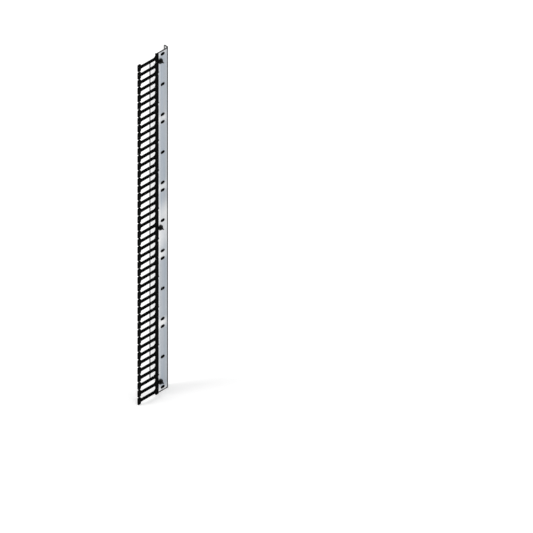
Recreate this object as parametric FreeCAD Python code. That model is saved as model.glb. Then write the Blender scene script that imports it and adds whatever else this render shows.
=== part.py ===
import FreeCAD, Part
import math
import os

# Vertical cable manager for the side of a rack post: a bent sheet-steel rail that carries
# five moulded combs of cable fingers and three captive mounting screws.
# The model is built in rail coordinates and moved to the row frame when it is written:
# X runs across the rail's face towards the rack, Y runs back from the rail's front edge,
# Z is up, and a drop is a distance below the rail's top end. All sizes are in millimetres.

V = FreeCAD.Vector
X_AXIS = V(1, 0, 0)

# Rack grid
RACK_UNIT = 44.45
RAIL_UNITS = 45
COMB_UNITS = 9
HOLE_STEP = 15.875

# Rail: one bent sheet
SHEET = 2.0
BEND_INNER = 2.0
WEB_WIDTH = 80.0
REAR_FLANGE = 30.0
FRONT_FLANGE = 49.0
FRONT_SETBACK_UNITS = 1.5
FLANGE_CORNER = 6.0
BEND_RELIEF = 3.0

# Strap slots in the web, and the liners pressed into them
SLOT_LENGTH = 22.0
SLOT_HEIGHT = 12.0
SLOT_INSET = 41.0
SLOT_CELLS = (1, 5, 9)
LINER_CLEARANCE = 0.1
LINER_WALL = 1.6
LINER_LIP = 2.0
LINER_LIP_THICKNESS = 1.5
LINER_DEPTH = 8.0

# Comb: spine and fingers
COMB_JOINT_GAP = 0.6
SPINE_REACH = 9.5
SPINE_THICKNESS = 5.0
SPINE_STEP_INSET = 5.0
SPINE_CORNER = 3.0
END_CORNER = 1.0
END_ROOT_RADIUS = 11.0
ROOT_INSET = 10.0
ROOT_RADIUS = 14.0
FINGER_DROP = 1.5
FINGER_REACH = 131.0
FINGER_HEIGHT = 15.5
FINGER_THICKNESS = 6.5
HEAD_HEIGHT = 39.0
HEAD_WIDTH = 19.5
HEAD_OUTER_RADIUS = 4.0
HEAD_CHAMFER = 4.0
NECK_CHAMFER = 3.0
GROOVE_WIDTH = 5.0
GROOVE_DEPTH = 2.5
GROOVE_END_MARGIN = 8.0
LIP_THICKNESS = 3.0
LIP_DEPTH = 7.0
LIP_CLEARANCE = 0.3
TIE_HOLE_WIDTH = 3.6
TIE_HOLE_HEIGHT = 9.0
TIE_HOLE_INSET = 1.8
TIE_HOLE_DROP = 7.4
PRY_NOTCH_HEIGHT = 11.0
PRY_NOTCH_DEPTH = 2.5
PRY_NOTCH_DROP = 12.6

# Push rivets that hold each comb
RIVET_CELLS = (3, 7)
RIVET_INSET = 7.5
RIVET_LUG_RADIUS = 4.8
RIVET_HEAD_RADIUS = 4.2
RIVET_HEAD_HEIGHT = 1.8
RIVET_HEAD_EDGE = 0.8
RIVET_SHANK_RADIUS = 3.2
RIVET_HOLE_CLEARANCE = 0.1
RIVET_BORE_RADIUS = 1.6
RIVET_BARB_RADIUS = 3.7
RIVET_BARB_GAP = 0.3
RIVET_BARB_LENGTH = 3.6
RIVET_TAIL = 3.0
RIVET_TAIL_RADIUS = 2.7
RIVET_SLIT = 0.8
PIN_CLEARANCE = 0.05
PIN_HEAD_RADIUS = 2.8
PIN_HEAD_HEIGHT = 0.9
PIN_POINT = 1.0

# Mounting points: captive screw, spacer, washer and retaining washer
MOUNT_INSET = 24.0
TOP_MOUNT_DROP = 56.0
UPPER_MOUNT_UNITS = 22
LOWER_MOUNT_UNITS = 20
SPACER_BASE_RADIUS = 14.0
SPACER_BASE_HEIGHT = 7.0
SPACER_EDGE = 1.2
SPACER_NECK_RADIUS = 7.4
SPACER_HEIGHT = 15.0
SPACER_BORE_RADIUS = 3.3
SPIGOT_RADIUS = 5.1
SPIGOT_CLEARANCE = 0.1
SPIGOT_SHORTFALL = 0.2
RECESS_RADIUS = 4.9
RECESS_DEPTH = 1.8
SCREW_RADIUS = 3.0
SCREW_FREE_END = 10.0
SCREW_POINT = 0.8
SCREW_HEAD_RADIUS = 5.25
SCREW_HEAD_HEIGHT = 3.6
SCREW_HEAD_CROWN = 0.9
SCREW_SOCKET_FLATS = 4.0
SCREW_SOCKET_DEPTH = 2.2
SCREW_PLAY = 0.3
NECK_GROOVE_RADIUS = 2.6
RETAINER_RADIUS = 4.5
RETAINER_THICKNESS = 1.0
WASHER_RADIUS = 6.0
WASHER_BORE_RADIUS = 3.3
WASHER_THICKNESS = 1.6

# Sizes that follow from the ones above
RAIL_LENGTH = RAIL_UNITS * RACK_UNIT
COMB_COUNT = RAIL_UNITS // COMB_UNITS
COMB_LENGTH = COMB_UNITS * RACK_UNIT
BEND_OUTER = BEND_INNER + SHEET
MIDDLE_MOUNT_DROP = TOP_MOUNT_DROP + UPPER_MOUNT_UNITS * RACK_UNIT
BOTTOM_MOUNT_DROP = MIDDLE_MOUNT_DROP + LOWER_MOUNT_UNITS * RACK_UNIT + HOLE_STEP
MOUNT_DROPS = {"top": TOP_MOUNT_DROP, "middle": MIDDLE_MOUNT_DROP, "bottom": BOTTOM_MOUNT_DROP}

# The row frame's origin: on the middle screw's axis, in the plane where the spacers end
TO_ROW_FRAME = V(-SPACER_HEIGHT, -MOUNT_INSET, MIDDLE_MOUNT_DROP)


def cell_drop(comb, cell):
    """Drop of the middle of a rack unit, with combs and their cells counted from 1."""
    return (comb - 1) * COMB_LENGTH + (cell - 0.5) * RACK_UNIT


def box(x0, x1, y0, y1, z0, z1):
    """Box between two opposite corners."""
    return Part.makeBox(x1 - x0, y1 - y0, z1 - z0, V(x0, y0, z0))


def rounded_wire(corners):
    """Closed wire through corners given as (point, radius), each corner an arc."""
    edges = []
    ends = []
    count = len(corners)
    for index, (corner, radius) in enumerate(corners):
        before = (corners[index - 1][0] - corner).normalize()
        after = (corners[(index + 1) % count][0] - corner).normalize()
        if radius == 0:
            ends.append((corner, corner, None))
            continue
        half_angle = before.getAngle(after) / 2
        reach = radius / math.tan(half_angle)
        bisector = (before + after).normalize()
        centre = corner + bisector * (radius / math.sin(half_angle))
        middle = centre - bisector * radius
        ends.append((corner + before * reach, corner + after * reach, middle))
    for index, (start, finish, middle) in enumerate(ends):
        if middle is not None:
            edges.append(Part.Arc(start, middle, finish).toShape())
        following = ends[(index + 1) % count][0]
        if finish.distanceToPoint(following) > 1e-6:
            edges.append(Part.LineSegment(finish, following).toShape())
    return Part.Wire(edges)


def extrude_x(wire, length):
    """Solid from a flat wire, drawn out along X."""
    return Part.Face(wire).extrude(V(length, 0, 0))


def obround(x0, x1, y, z, length, height):
    """Bar along X whose section is a round-ended slot lying along Y."""
    radius = height / 2
    run = length / 2 - radius
    top_left, top_right = V(x0, y - run, z + radius), V(x0, y + run, z + radius)
    low_left, low_right = V(x0, y - run, z - radius), V(x0, y + run, z - radius)
    wire = Part.Wire([
        Part.LineSegment(top_left, top_right).toShape(),
        Part.Arc(top_right, V(x0, y + length / 2, z), low_right).toShape(),
        Part.LineSegment(low_right, low_left).toShape(),
        Part.Arc(low_left, V(x0, y - length / 2, z), top_left).toShape(),
    ])
    return extrude_x(wire, x1 - x0)


def revolve_x(profile, y, z):
    """Solid of revolution about an X axis, from a closed profile of (x, radius) points."""
    points = [V(x, y + radius, z) for x, radius in profile]
    wire = Part.makePolygon(points + [points[0]])
    return Part.Face(wire).revolve(V(0, y, z), X_AXIS, 360)


def cylinder_x(x0, x1, y, z, radius):
    """Round bar along X."""
    return Part.makeCylinder(radius, x1 - x0, V(x0, y, z), X_AXIS)


def bent_section(sections):
    """Wire in a level plane through (x, y, radius) corners."""
    return rounded_wire([(V(x, y, 0), radius) for x, y, radius in sections])


def web_and_rear_flange():
    """The flat web and the flange behind it, as one bent section over the rail's length."""
    section = bent_section([
        (0, 0, 0), (0, WEB_WIDTH, BEND_OUTER), (-REAR_FLANGE, WEB_WIDTH, 0),
        (-REAR_FLANGE, WEB_WIDTH - SHEET, 0), (-SHEET, WEB_WIDTH - SHEET, BEND_INNER), (-SHEET, 0, 0),
    ])
    solid = Part.Face(section).extrude(V(0, 0, -RAIL_LENGTH))
    for z, inward in ((0, -1), (-RAIL_LENGTH, 1)):
        corner = Part.makePolygon([
            V(-REAR_FLANGE, WEB_WIDTH, z), V(-REAR_FLANGE + FLANGE_CORNER, WEB_WIDTH, z),
            V(-REAR_FLANGE, WEB_WIDTH, z + inward * FLANGE_CORNER), V(-REAR_FLANGE, WEB_WIDTH, z),
        ])
        solid = solid.cut(Part.Face(corner).extrude(V(0, -SHEET, 0)))
    return solid


def front_flange():
    """The deeper flange along the front edge, which stops short of both ends."""
    setback = FRONT_SETBACK_UNITS * RACK_UNIT
    section = bent_section([
        (0, 0, BEND_OUTER), (0, BEND_OUTER, 0), (-SHEET, BEND_OUTER, 0),
        (-SHEET, SHEET, BEND_INNER), (-FRONT_FLANGE, SHEET, 0), (-FRONT_FLANGE, 0, 0),
    ])
    solid = Part.Face(section).extrude(V(0, 0, -(RAIL_LENGTH - 2 * setback)))
    solid.translate(V(0, 0, -setback))
    free_corners = [
        edge for edge in solid.Edges
        if abs(edge.BoundBox.XMin + FRONT_FLANGE) < 1e-6 and abs(edge.BoundBox.XMax + FRONT_FLANGE) < 1e-6
        and edge.BoundBox.YLength > SHEET / 2
    ]
    return solid.makeChamfer(FLANGE_CORNER, free_corners)


def make_rail():
    """Rail: web, two flanges, and every hole that a liner, rivet or spacer sits in."""
    setback = FRONT_SETBACK_UNITS * RACK_UNIT
    web = web_and_rear_flange()
    bend_zone = box(-SHEET, 0, 0, BEND_OUTER, -(RAIL_LENGTH - setback), -setback)
    rail = web.cut(bend_zone).fuse(front_flange())
    for z in (-setback, -(RAIL_LENGTH - setback)):
        low, high = (z, z + BEND_RELIEF) if z == -setback else (z - BEND_RELIEF, z)
        rail = rail.cut(box(-SHEET, 0, 0, BEND_OUTER, low, high))
    cuts = []
    for comb in range(1, COMB_COUNT + 1):
        for cell in SLOT_CELLS:
            cuts.append(obround(-SHEET, 0, SLOT_INSET, -cell_drop(comb, cell), SLOT_LENGTH, SLOT_HEIGHT))
        for cell in RIVET_CELLS:
            cuts.append(cylinder_x(-SHEET, 0, RIVET_INSET, -cell_drop(comb, cell),
                                   RIVET_SHANK_RADIUS + RIVET_HOLE_CLEARANCE))
    for drop in MOUNT_DROPS.values():
        cuts.append(cylinder_x(-SHEET, 0, MOUNT_INSET, -drop, SPIGOT_RADIUS + SPIGOT_CLEARANCE))
    return rail.cut(Part.makeCompound(cuts)).removeSplitter()


def finger_corners(z, lower_root_radius):
    """Corners of one finger, from its root above to its root below, round its T-shaped head."""
    neck = -FINGER_REACH + HEAD_WIDTH
    half, half_head = FINGER_HEIGHT / 2, HEAD_HEIGHT / 2
    upper = [
        (V(0, -ROOT_INSET, z + half), ROOT_RADIUS),
        (V(0, neck + NECK_CHAMFER, z + half), 0),
        (V(0, neck, z + half + NECK_CHAMFER), 0),
        (V(0, neck, z + half_head - HEAD_CHAMFER), 0),
        (V(0, neck - HEAD_CHAMFER, z + half_head), 0),
        (V(0, -FINGER_REACH, z + half_head), HEAD_OUTER_RADIUS),
    ]
    lower = [(V(0, point.y, 2 * z - point.z), radius) for point, radius in reversed(upper)]
    lower[-1] = (lower[-1][0], lower_root_radius)
    return upper + lower


def comb_cuts(bottom):
    """What is cut from a comb's plate: the spine's step, grooves, tie holes, notches, rivet holes."""
    cuts = [box(SPINE_THICKNESS, FINGER_THICKNESS, -SPINE_STEP_INSET, SPINE_REACH, bottom, 0)]
    groove_end = -FINGER_REACH + HEAD_WIDTH + GROOVE_END_MARGIN
    groove_start = -ROOT_INSET - GROOVE_END_MARGIN
    for cell in range(1, COMB_UNITS + 1):
        z = -cell_drop(1, cell)
        groove = z - FINGER_DROP
        cuts.append(box(FINGER_THICKNESS - GROOVE_DEPTH, FINGER_THICKNESS, groove_end, groove_start,
                        groove - GROOVE_WIDTH / 2, groove + GROOVE_WIDTH / 2))
        if cell in RIVET_CELLS:
            notch = z - PRY_NOTCH_DROP
            cuts.append(box(0, SPINE_THICKNESS, SPINE_REACH - PRY_NOTCH_DEPTH, SPINE_REACH,
                            notch - PRY_NOTCH_HEIGHT / 2, notch + PRY_NOTCH_HEIGHT / 2))
            cuts.append(cylinder_x(0, SPINE_THICKNESS, RIVET_INSET, z,
                                   RIVET_SHANK_RADIUS + RIVET_HOLE_CLEARANCE))
        else:
            hole = z - TIE_HOLE_DROP
            cuts.append(box(0, SPINE_THICKNESS, TIE_HOLE_INSET, TIE_HOLE_INSET + TIE_HOLE_WIDTH,
                            hole - TIE_HOLE_HEIGHT / 2, hole + TIE_HOLE_HEIGHT / 2))
    return Part.makeCompound(cuts)


def rivet_lugs():
    """Round ears on the spine's rear edge that carry the rivets."""
    return [cylinder_x(0, SPINE_THICKNESS, RIVET_INSET, -cell_drop(1, cell), RIVET_LUG_RADIUS)
            for cell in RIVET_CELLS]


def make_comb():
    """One comb, nine rack units long, with its top at drop zero."""
    top = -COMB_JOINT_GAP / 2
    bottom = -COMB_LENGTH + COMB_JOINT_GAP / 2
    corners = [(V(0, -ROOT_INSET, top), END_CORNER)]
    for cell in range(1, COMB_UNITS + 1):
        lower_root_radius = END_ROOT_RADIUS if cell == COMB_UNITS else ROOT_RADIUS
        corners += finger_corners(-cell_drop(1, cell) - FINGER_DROP, lower_root_radius)
    corners += [
        (V(0, -ROOT_INSET, bottom), END_CORNER),
        (V(0, SPINE_REACH, bottom), SPINE_CORNER),
        (V(0, SPINE_REACH, top), SPINE_CORNER),
    ]
    plate = extrude_x(rounded_wire(corners), FINGER_THICKNESS)
    lip = box(-LIP_DEPTH, 0, -LIP_CLEARANCE - LIP_THICKNESS, -LIP_CLEARANCE, bottom, top)
    return plate.fuse([lip] + rivet_lugs()).cut(comb_cuts(bottom)).removeSplitter()


def make_liner(z):
    """Slot liner: a lip on the rail's face and a sleeve through the slot."""
    sleeve_length = SLOT_LENGTH - 2 * LINER_CLEARANCE
    sleeve_height = SLOT_HEIGHT - 2 * LINER_CLEARANCE
    sleeve = obround(-LINER_DEPTH, 0, SLOT_INSET, z, sleeve_length, sleeve_height)
    lip = obround(0, LINER_LIP_THICKNESS, SLOT_INSET, z,
                  SLOT_LENGTH + 2 * LINER_LIP, SLOT_HEIGHT + 2 * LINER_LIP)
    opening = obround(-LINER_DEPTH, LINER_LIP_THICKNESS, SLOT_INSET, z,
                      sleeve_length - 2 * LINER_WALL, sleeve_height - 2 * LINER_WALL)
    return sleeve.fuse(lip).cut(opening).removeSplitter()


def make_rivet_body(z):
    """Push rivet: domed head on the spine, shank through spine and rail, slit barbs behind."""
    face = SPINE_THICKNESS
    back = -SHEET - RIVET_BARB_GAP
    tail = back - RIVET_BARB_LENGTH - RIVET_TAIL
    profile = [
        (tail, RIVET_BORE_RADIUS), (tail, RIVET_TAIL_RADIUS),
        (back - RIVET_BARB_LENGTH, RIVET_TAIL_RADIUS), (back, RIVET_BARB_RADIUS),
        (back, RIVET_SHANK_RADIUS), (face, RIVET_SHANK_RADIUS), (face, RIVET_HEAD_RADIUS),
        (face + RIVET_HEAD_HEIGHT - RIVET_HEAD_EDGE, RIVET_HEAD_RADIUS),
        (face + RIVET_HEAD_HEIGHT, RIVET_HEAD_RADIUS - RIVET_HEAD_EDGE),
        (face + RIVET_HEAD_HEIGHT, PIN_HEAD_RADIUS + PIN_CLEARANCE),
        (face + RIVET_HEAD_HEIGHT - PIN_HEAD_HEIGHT, PIN_HEAD_RADIUS + PIN_CLEARANCE),
        (face + RIVET_HEAD_HEIGHT - PIN_HEAD_HEIGHT, RIVET_BORE_RADIUS),
    ]
    body = revolve_x(profile, RIVET_INSET, z)
    half = RIVET_SLIT / 2
    slits = box(tail, back, RIVET_INSET - RIVET_BARB_RADIUS, RIVET_INSET + RIVET_BARB_RADIUS, z - half, z + half)
    return body.cut(slits)


def make_rivet_pin(z):
    """Pin driven into a rivet's body, its flat head flush in the rivet's head."""
    face = SPINE_THICKNESS + RIVET_HEAD_HEIGHT
    end = -SHEET - RIVET_BARB_GAP - RIVET_BARB_LENGTH - RIVET_TAIL
    radius = RIVET_BORE_RADIUS - PIN_CLEARANCE
    profile = [
        (end, 0), (end, radius - PIN_POINT / 2), (end + PIN_POINT, radius),
        (face - PIN_HEAD_HEIGHT, radius), (face - PIN_HEAD_HEIGHT, PIN_HEAD_RADIUS),
        (face, PIN_HEAD_RADIUS), (face, 0),
    ]
    return revolve_x(profile, RIVET_INSET, z)


def make_spacer(z):
    """Spacer: broad base on the rail's face, neck to the post, spigot in the rail's hole."""
    spigot = -SHEET + SPIGOT_SHORTFALL
    profile = [
        (spigot, SPACER_BORE_RADIUS), (spigot, SPIGOT_RADIUS), (0, SPIGOT_RADIUS), (0, SPACER_BASE_RADIUS),
        (SPACER_BASE_HEIGHT - SPACER_EDGE, SPACER_BASE_RADIUS),
        (SPACER_BASE_HEIGHT, SPACER_BASE_RADIUS - SPACER_EDGE),
        (SPACER_BASE_HEIGHT, SPACER_NECK_RADIUS), (SPACER_HEIGHT, SPACER_NECK_RADIUS),
        (SPACER_HEIGHT, RECESS_RADIUS), (SPACER_HEIGHT - RECESS_DEPTH, RECESS_RADIUS),
        (SPACER_HEIGHT - RECESS_DEPTH, SPACER_BORE_RADIUS),
    ]
    return revolve_x(profile, MOUNT_INSET, z)


def retainer_span():
    """Where the retaining washer lies along X, clear of the bottom of the spacer's recess."""
    back = SPACER_HEIGHT - RECESS_DEPTH + SCREW_PLAY
    return back, back + RETAINER_THICKNESS


def make_screw(z):
    """Mounting screw: socket head behind the rail, shank through the spacer, free threaded end."""
    seat = -SHEET - WASHER_THICKNESS - SCREW_PLAY
    head = seat - SCREW_HEAD_HEIGHT
    groove_back, groove_front = retainer_span()
    tip = SPACER_HEIGHT + SCREW_FREE_END
    profile = [
        (head, 0), (head, SCREW_HEAD_RADIUS - SCREW_HEAD_CROWN),
        (head + SCREW_HEAD_CROWN, SCREW_HEAD_RADIUS), (seat, SCREW_HEAD_RADIUS), (seat, SCREW_RADIUS),
        (groove_back, SCREW_RADIUS), (groove_back, NECK_GROOVE_RADIUS),
        (groove_front, NECK_GROOVE_RADIUS), (groove_front, SCREW_RADIUS),
        (tip - SCREW_POINT, SCREW_RADIUS), (tip, SCREW_RADIUS - SCREW_POINT), (tip, 0),
    ]
    screw = revolve_x(profile, MOUNT_INSET, z)
    corner = SCREW_SOCKET_FLATS / math.sqrt(3)
    points = [
        V(head, MOUNT_INSET + corner * math.cos(math.radians(60 * k)), z + corner * math.sin(math.radians(60 * k)))
        for k in range(7)
    ]
    return screw.cut(extrude_x(Part.makePolygon(points), SCREW_SOCKET_DEPTH))


def make_retainer(z):
    """Retaining washer, pressed into the screw's groove, which keeps the screw in its spacer."""
    back, front = retainer_span()
    ring = cylinder_x(back, front, MOUNT_INSET, z, RETAINER_RADIUS)
    return ring.cut(cylinder_x(back, front, MOUNT_INSET, z, NECK_GROOVE_RADIUS))


def make_washer(z):
    """Plain washer behind the rail, under the screw's head."""
    back, front = -SHEET - WASHER_THICKNESS, -SHEET
    ring = cylinder_x(back, front, MOUNT_INSET, z, WASHER_RADIUS)
    return ring.cut(cylinder_x(back, front, MOUNT_INSET, z, WASHER_BORE_RADIUS))


def moved_copy(shape, drop):
    """Copy of a shape, moved down by a drop."""
    copy = shape.copy()
    copy.translate(V(0, 0, -drop))
    return copy


def assembly():
    """Every node of the part, by name, in rail coordinates."""
    nodes = {"rail": make_rail()}
    comb = make_comb()
    for number in range(1, COMB_COUNT + 1):
        nodes[f"comb_{number}"] = moved_copy(comb, (number - 1) * COMB_LENGTH)
        slots = [-cell_drop(number, cell) for cell in SLOT_CELLS]
        rivets = [-cell_drop(number, cell) for cell in RIVET_CELLS]
        nodes[f"slot_liners_{number}"] = Part.makeCompound([make_liner(z) for z in slots])
        nodes[f"rivet_bodies_{number}"] = Part.makeCompound([make_rivet_body(z) for z in rivets])
        nodes[f"rivet_pins_{number}"] = Part.makeCompound([make_rivet_pin(z) for z in rivets])
    for place, drop in MOUNT_DROPS.items():
        nodes[f"{place}_spacer"] = make_spacer(-drop)
        nodes[f"{place}_mounting_screw"] = make_screw(-drop)
        nodes[f"{place}_retaining_washer"] = make_retainer(-drop)
        nodes[f"{place}_plain_washer"] = make_washer(-drop)
    return nodes


def write_parts():
    """Write one STEP file per node, in the row frame."""
    os.makedirs("parts", exist_ok=True)
    for name, shape in assembly().items():
        shape.translate(TO_ROW_FRAME)
        shape.exportStep(f"parts/{name}.step")


write_parts()
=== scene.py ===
"""Looks of a vertical cable manager: a zinc-plated rail, five finger combs and three captive screws.

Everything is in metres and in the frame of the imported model. X points out of the rail's face to
the rack's post, Y points back from the rail's front edge, and Z is up.
"""

import logging
import math
from abc import ABC, abstractmethod
from dataclasses import dataclass, replace
from enum import Enum
from typing import Iterable, Mapping, Optional, Sequence, Union

import bmesh
import bpy
from mathutils import Matrix, Vector


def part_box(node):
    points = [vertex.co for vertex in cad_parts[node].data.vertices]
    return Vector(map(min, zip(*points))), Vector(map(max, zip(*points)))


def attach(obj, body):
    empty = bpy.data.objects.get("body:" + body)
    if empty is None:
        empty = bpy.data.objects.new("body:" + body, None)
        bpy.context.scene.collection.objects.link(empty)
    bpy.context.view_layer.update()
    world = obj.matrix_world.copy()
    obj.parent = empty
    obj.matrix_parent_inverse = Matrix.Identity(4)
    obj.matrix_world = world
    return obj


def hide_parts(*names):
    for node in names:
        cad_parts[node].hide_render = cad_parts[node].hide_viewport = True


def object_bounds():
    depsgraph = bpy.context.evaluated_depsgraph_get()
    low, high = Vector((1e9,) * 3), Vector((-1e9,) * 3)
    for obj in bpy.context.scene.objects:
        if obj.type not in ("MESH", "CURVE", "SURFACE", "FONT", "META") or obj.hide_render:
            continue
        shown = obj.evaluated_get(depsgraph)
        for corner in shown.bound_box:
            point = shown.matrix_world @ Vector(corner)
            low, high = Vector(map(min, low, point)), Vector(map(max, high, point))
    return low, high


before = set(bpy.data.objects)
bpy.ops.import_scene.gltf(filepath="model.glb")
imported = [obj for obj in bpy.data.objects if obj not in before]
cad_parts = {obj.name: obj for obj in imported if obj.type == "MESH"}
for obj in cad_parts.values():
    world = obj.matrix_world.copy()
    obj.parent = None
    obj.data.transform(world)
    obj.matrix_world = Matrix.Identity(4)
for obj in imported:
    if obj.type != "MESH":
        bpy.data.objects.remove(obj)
CAD_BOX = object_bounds()

LOG = logging.getLogger("cable_manager")

MM = 0.001
ROOT_BODY = "rail_assembly"
RAIL_UNITS = 45
COMB_UNITS = 9
COMBS = range(1, RAIL_UNITS // COMB_UNITS + 1)
CELLS = range(1, COMB_UNITS + 1)
SLOT_CELLS = (1, 5, 9)
RIVET_CELLS = (3, 7)
ARC_STEP = math.radians(11)
FLAT_ANGLE = math.radians(1)
CREASE_ANGLE = math.radians(38)
EDGE_STEPS = 2
WELD = 0.0001 * MM

Point = tuple[float, float]
Triple = tuple[float, float, float]
Colour = tuple[float, float, float, float]
Prism = tuple[Sequence[Point], float, float]
Linkable = Union["Wire", float, int, tuple]


class Axis(Enum):
    """Direction that an outline is drawn out along, by its number among X, Y and Z."""

    X = 0
    Y = 1
    Z = 2


class Operation(Enum):
    """How one solid changes another."""

    JOIN = "UNION"
    CUT = "DIFFERENCE"


class Place(Enum):
    """The three places where the rail is fastened to a post."""

    TOP = "top"
    MIDDLE = "middle"
    BOTTOM = "bottom"

    @property
    def body(self) -> str:
        """Name of the moving body that the screw here belongs to."""
        return f"{self.value}_screw"

    @property
    def axis(self) -> Point:
        """Y and Z of the screw's axis here."""
        low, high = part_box(self.node("spacer"))
        return (low.y + high.y) / 2, (low.z + high.z) / 2

    def node(self, part: str) -> str:
        """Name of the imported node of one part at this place."""
        return f"{self.value}_{part}"


@dataclass(frozen=True)
class Datum:
    """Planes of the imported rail, and the sizes that neighbouring pieces share."""

    face_x: float
    back_x: float
    front_y: float
    rear_y: float
    top_z: float
    bottom_z: float
    sheet: float = 2 * MM
    rear_flange: float = 30 * MM
    spine_thickness: float = 5 * MM
    slot_length: float = 22 * MM
    slot_height: float = 12 * MM
    slot_inset: float = 41 * MM
    rivet_inset: float = 7.5 * MM
    rivet_hole: float = 3.3 * MM

    @classmethod
    def from_frame(cls) -> "Datum":
        """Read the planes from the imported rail's box."""
        low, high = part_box("rail")
        return cls(high.x, low.x, low.y, high.y, high.z, low.z)

    @property
    def unit(self) -> float:
        """One rack unit, the pitch of the fingers."""
        return (self.top_z - self.bottom_z) / RAIL_UNITS

    @property
    def slot_y(self) -> float:
        """Y of the slots' middles."""
        return self.y(self.slot_inset)

    @property
    def rivet_y(self) -> float:
        """Y of the rivets' axes."""
        return self.y(self.rivet_inset)

    def x(self, across: float) -> float:
        """X of a distance across, measured out of the rail's face."""
        return self.face_x + across

    def y(self, back: float) -> float:
        """Y of a distance back from the rail's front edge."""
        return self.front_y + back

    def cell_z(self, comb: int, cell: int) -> float:
        """Height of the middle of a rack unit.

        Args:
            comb: Number of the comb, from 1 at the top.
            cell: Number of the rack unit in that comb, from 1 at the top.

        Returns:
            Z in the row frame.
        """
        return self.top_z - ((comb - 1) * COMB_UNITS + cell - 0.5) * self.unit


class Wire:
    """An output socket that can stand in a Python expression."""

    def __init__(self, graph: "Graph", socket: bpy.types.NodeSocket) -> None:
        """Keep the socket, and the graph that its Math nodes go into."""
        self.graph = graph
        self.socket = socket

    def _maths(self, operation: str, *values: Linkable) -> "Wire":
        """Add a Math node on these values and return its result."""
        return self.graph.node("ShaderNodeMath", {"operation": operation}, dict(enumerate(values)))

    def __add__(self, other: Linkable) -> "Wire":
        """Sum with a value on the right."""
        return self._maths("ADD", self, other)

    def __radd__(self, other: Linkable) -> "Wire":
        """Sum with a value on the left."""
        return self._maths("ADD", other, self)

    def __sub__(self, other: Linkable) -> "Wire":
        """Difference from a value on the right."""
        return self._maths("SUBTRACT", self, other)

    def __rsub__(self, other: Linkable) -> "Wire":
        """Difference from a value on the left."""
        return self._maths("SUBTRACT", other, self)

    def __mul__(self, other: Linkable) -> "Wire":
        """Product with a value on the right."""
        return self._maths("MULTIPLY", self, other)

    def __rmul__(self, other: Linkable) -> "Wire":
        """Product with a value on the left."""
        return self._maths("MULTIPLY", other, self)

    def __truediv__(self, other: Linkable) -> "Wire":
        """Quotient by a value on the right."""
        return self._maths("DIVIDE", self, other)

    def __rtruediv__(self, other: Linkable) -> "Wire":
        """Quotient of a value on the left."""
        return self._maths("DIVIDE", other, self)

    def __abs__(self) -> "Wire":
        """Size without its sign."""
        return self._maths("ABSOLUTE", self)

    def clipped(self) -> "Wire":
        """The value held between 0 and 1."""
        return self.graph.node("ShaderNodeClamp", {}, {0: self})

    def larger(self, other: Linkable) -> "Wire":
        """The larger of two values, which joins two masks."""
        return self._maths("MAXIMUM", self, other)

    def rise(self, low: float, high: float) -> "Wire":
        """Smooth step of the value, from 0 at low to 1 at high.

        Args:
            low: Value at which the step starts.
            high: Value at which it is complete, which may be lower than low.

        Returns:
            A mask between 0 and 1.
        """
        first, last, start, end = (low, high, 0.0, 1.0) if low < high else (high, low, 1.0, 0.0)
        inputs = {"Value": self, "From Min": first, "From Max": last, "To Min": start, "To Max": end}
        return self.graph.node("ShaderNodeMapRange", {"interpolation_type": "SMOOTHSTEP"}, inputs)

    def from_whole(self) -> "Wire":
        """Distance of the value from the nearest whole number."""
        return abs(self - self._maths("ROUND", self))

    def near(self, middle: float, reach: float, core: float = 0.35) -> "Wire":
        """Mask of a soft band about a value, 1 over the core share of its reach and 0 past it."""
        return abs(self - middle).rise(reach, reach * core)


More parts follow.
